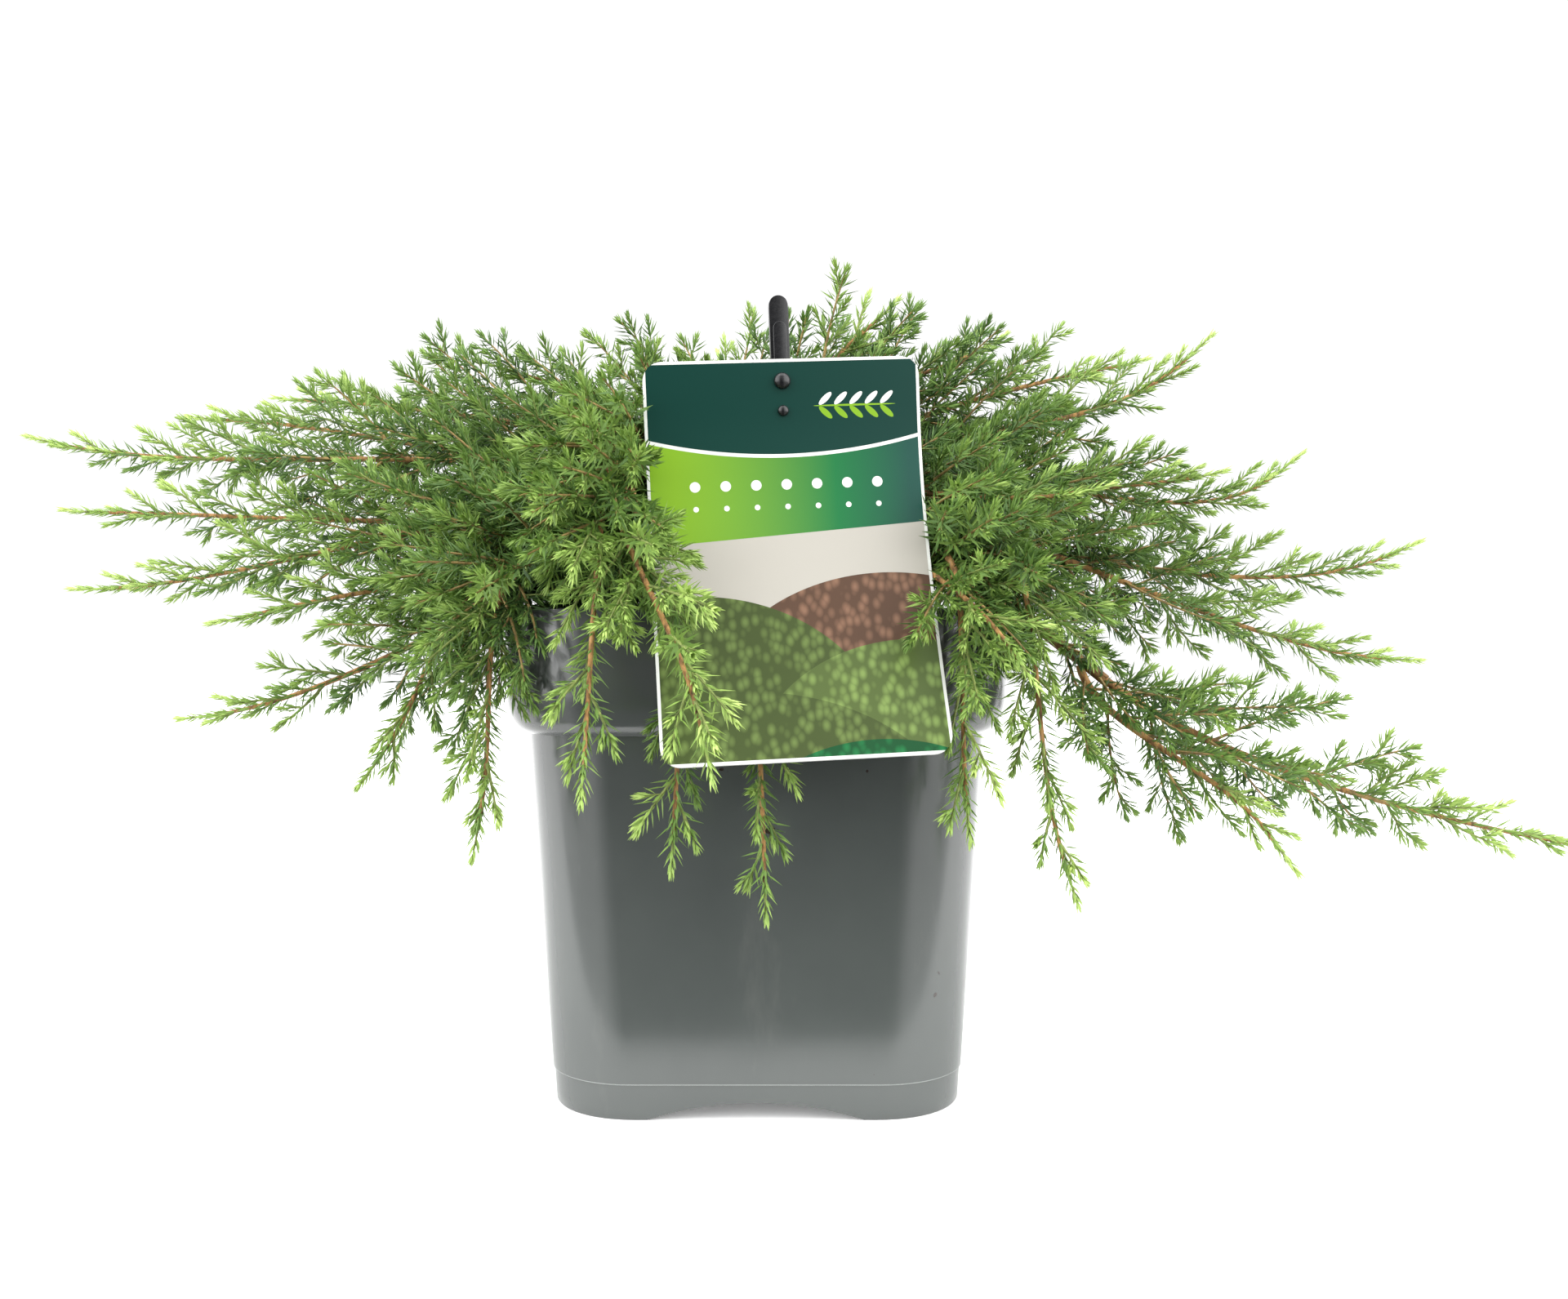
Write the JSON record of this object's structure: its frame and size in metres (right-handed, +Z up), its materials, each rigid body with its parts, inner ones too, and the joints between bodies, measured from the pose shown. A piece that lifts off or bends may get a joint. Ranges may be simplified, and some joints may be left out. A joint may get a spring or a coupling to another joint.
{
  "type": "potted spreading juniper",
  "caption": "Low spreading needle shrub with arching shoots, in a square nursery pot with a round-cornered collar, with a plain plant label on a holder.",
  "frame": {"origin": "middle of the flat pad on the pot's underside, where the pot stands", "axes": "+Z up; +X to the right as the label is read, along the plant's widest spread; -Y towards the viewer, the side that the label faces"},
  "size_m": [0.6485, 0.4314, 0.343],
  "materials": {
    "pot_plastic": "satin",
    "potting_mix": "rough",
    "label_card": "printed, satin",
    "label_holder": "satin",
    "bark": "rough",
    "needles": "satin"
  },
  "bodies": {
    "root": {"pot": "pot_plastic", "potting_soil": "potting_mix", "label_card": "label_card", "label_holder": "label_holder", "trunk": "bark", "bough_left_back": "bark", "bough_left": "bark", "bough_left_front": "bark", "bough_left_low": "bark", "bough_front_left": "bark", "bough_front": "bark", "bough_front_right": "bark", "bough_right_front": "bark", "bough_right_droop": "bark", "bough_right": "bark", "bough_right_upper": "bark", "bough_right_back": "bark", "bough_crown": "bark", "bough_crown_back": "bark", "bough_back_right": "bark", "bough_back": "bark", "bough_back_left": "bark", "foliage_01_left_back": "needles", "foliage_02_left_back": "needles", "foliage_03_left": "needles", "foliage_04_left": "needles", "foliage_05_left_front": "needles", "foliage_06_left_front": "needles", "foliage_07_left_low": "needles", "foliage_08_left_low": "needles", "foliage_09_left_low": "needles", "foliage_10_front_left": "needles", "foliage_11_front_left": "needles", "foliage_12_front": "needles", "foliage_13_front": "needles", "foliage_14_front_right": "needles", "foliage_15_front_right": "needles", "foliage_16_right_front": "needles", "foliage_17_right_front": "needles", "foliage_18_right_droop": "needles", "foliage_19_right_droop": "needles", "foliage_20_right": "needles", "foliage_21_right": "needles", "foliage_22_right_upper": "needles", "foliage_23_right_upper": "needles", "foliage_24_right_back": "needles", "foliage_25_right_back": "needles", "foliage_26_crown": "needles", "foliage_27_crown": "needles", "foliage_28_crown_back": "needles", "foliage_29_crown_back": "needles", "foliage_30_back_right": "needles", "foliage_31_back_right": "needles", "foliage_32_back": "needles", "foliage_33_back": "needles", "foliage_34_back_left": "needles", "foliage_35_back_left": "needles", "foliage_36_trunk": "needles", "foliage_37_trunk": "needles", "foliage_38_trunk": "needles"}
  },
  "joints": []
}
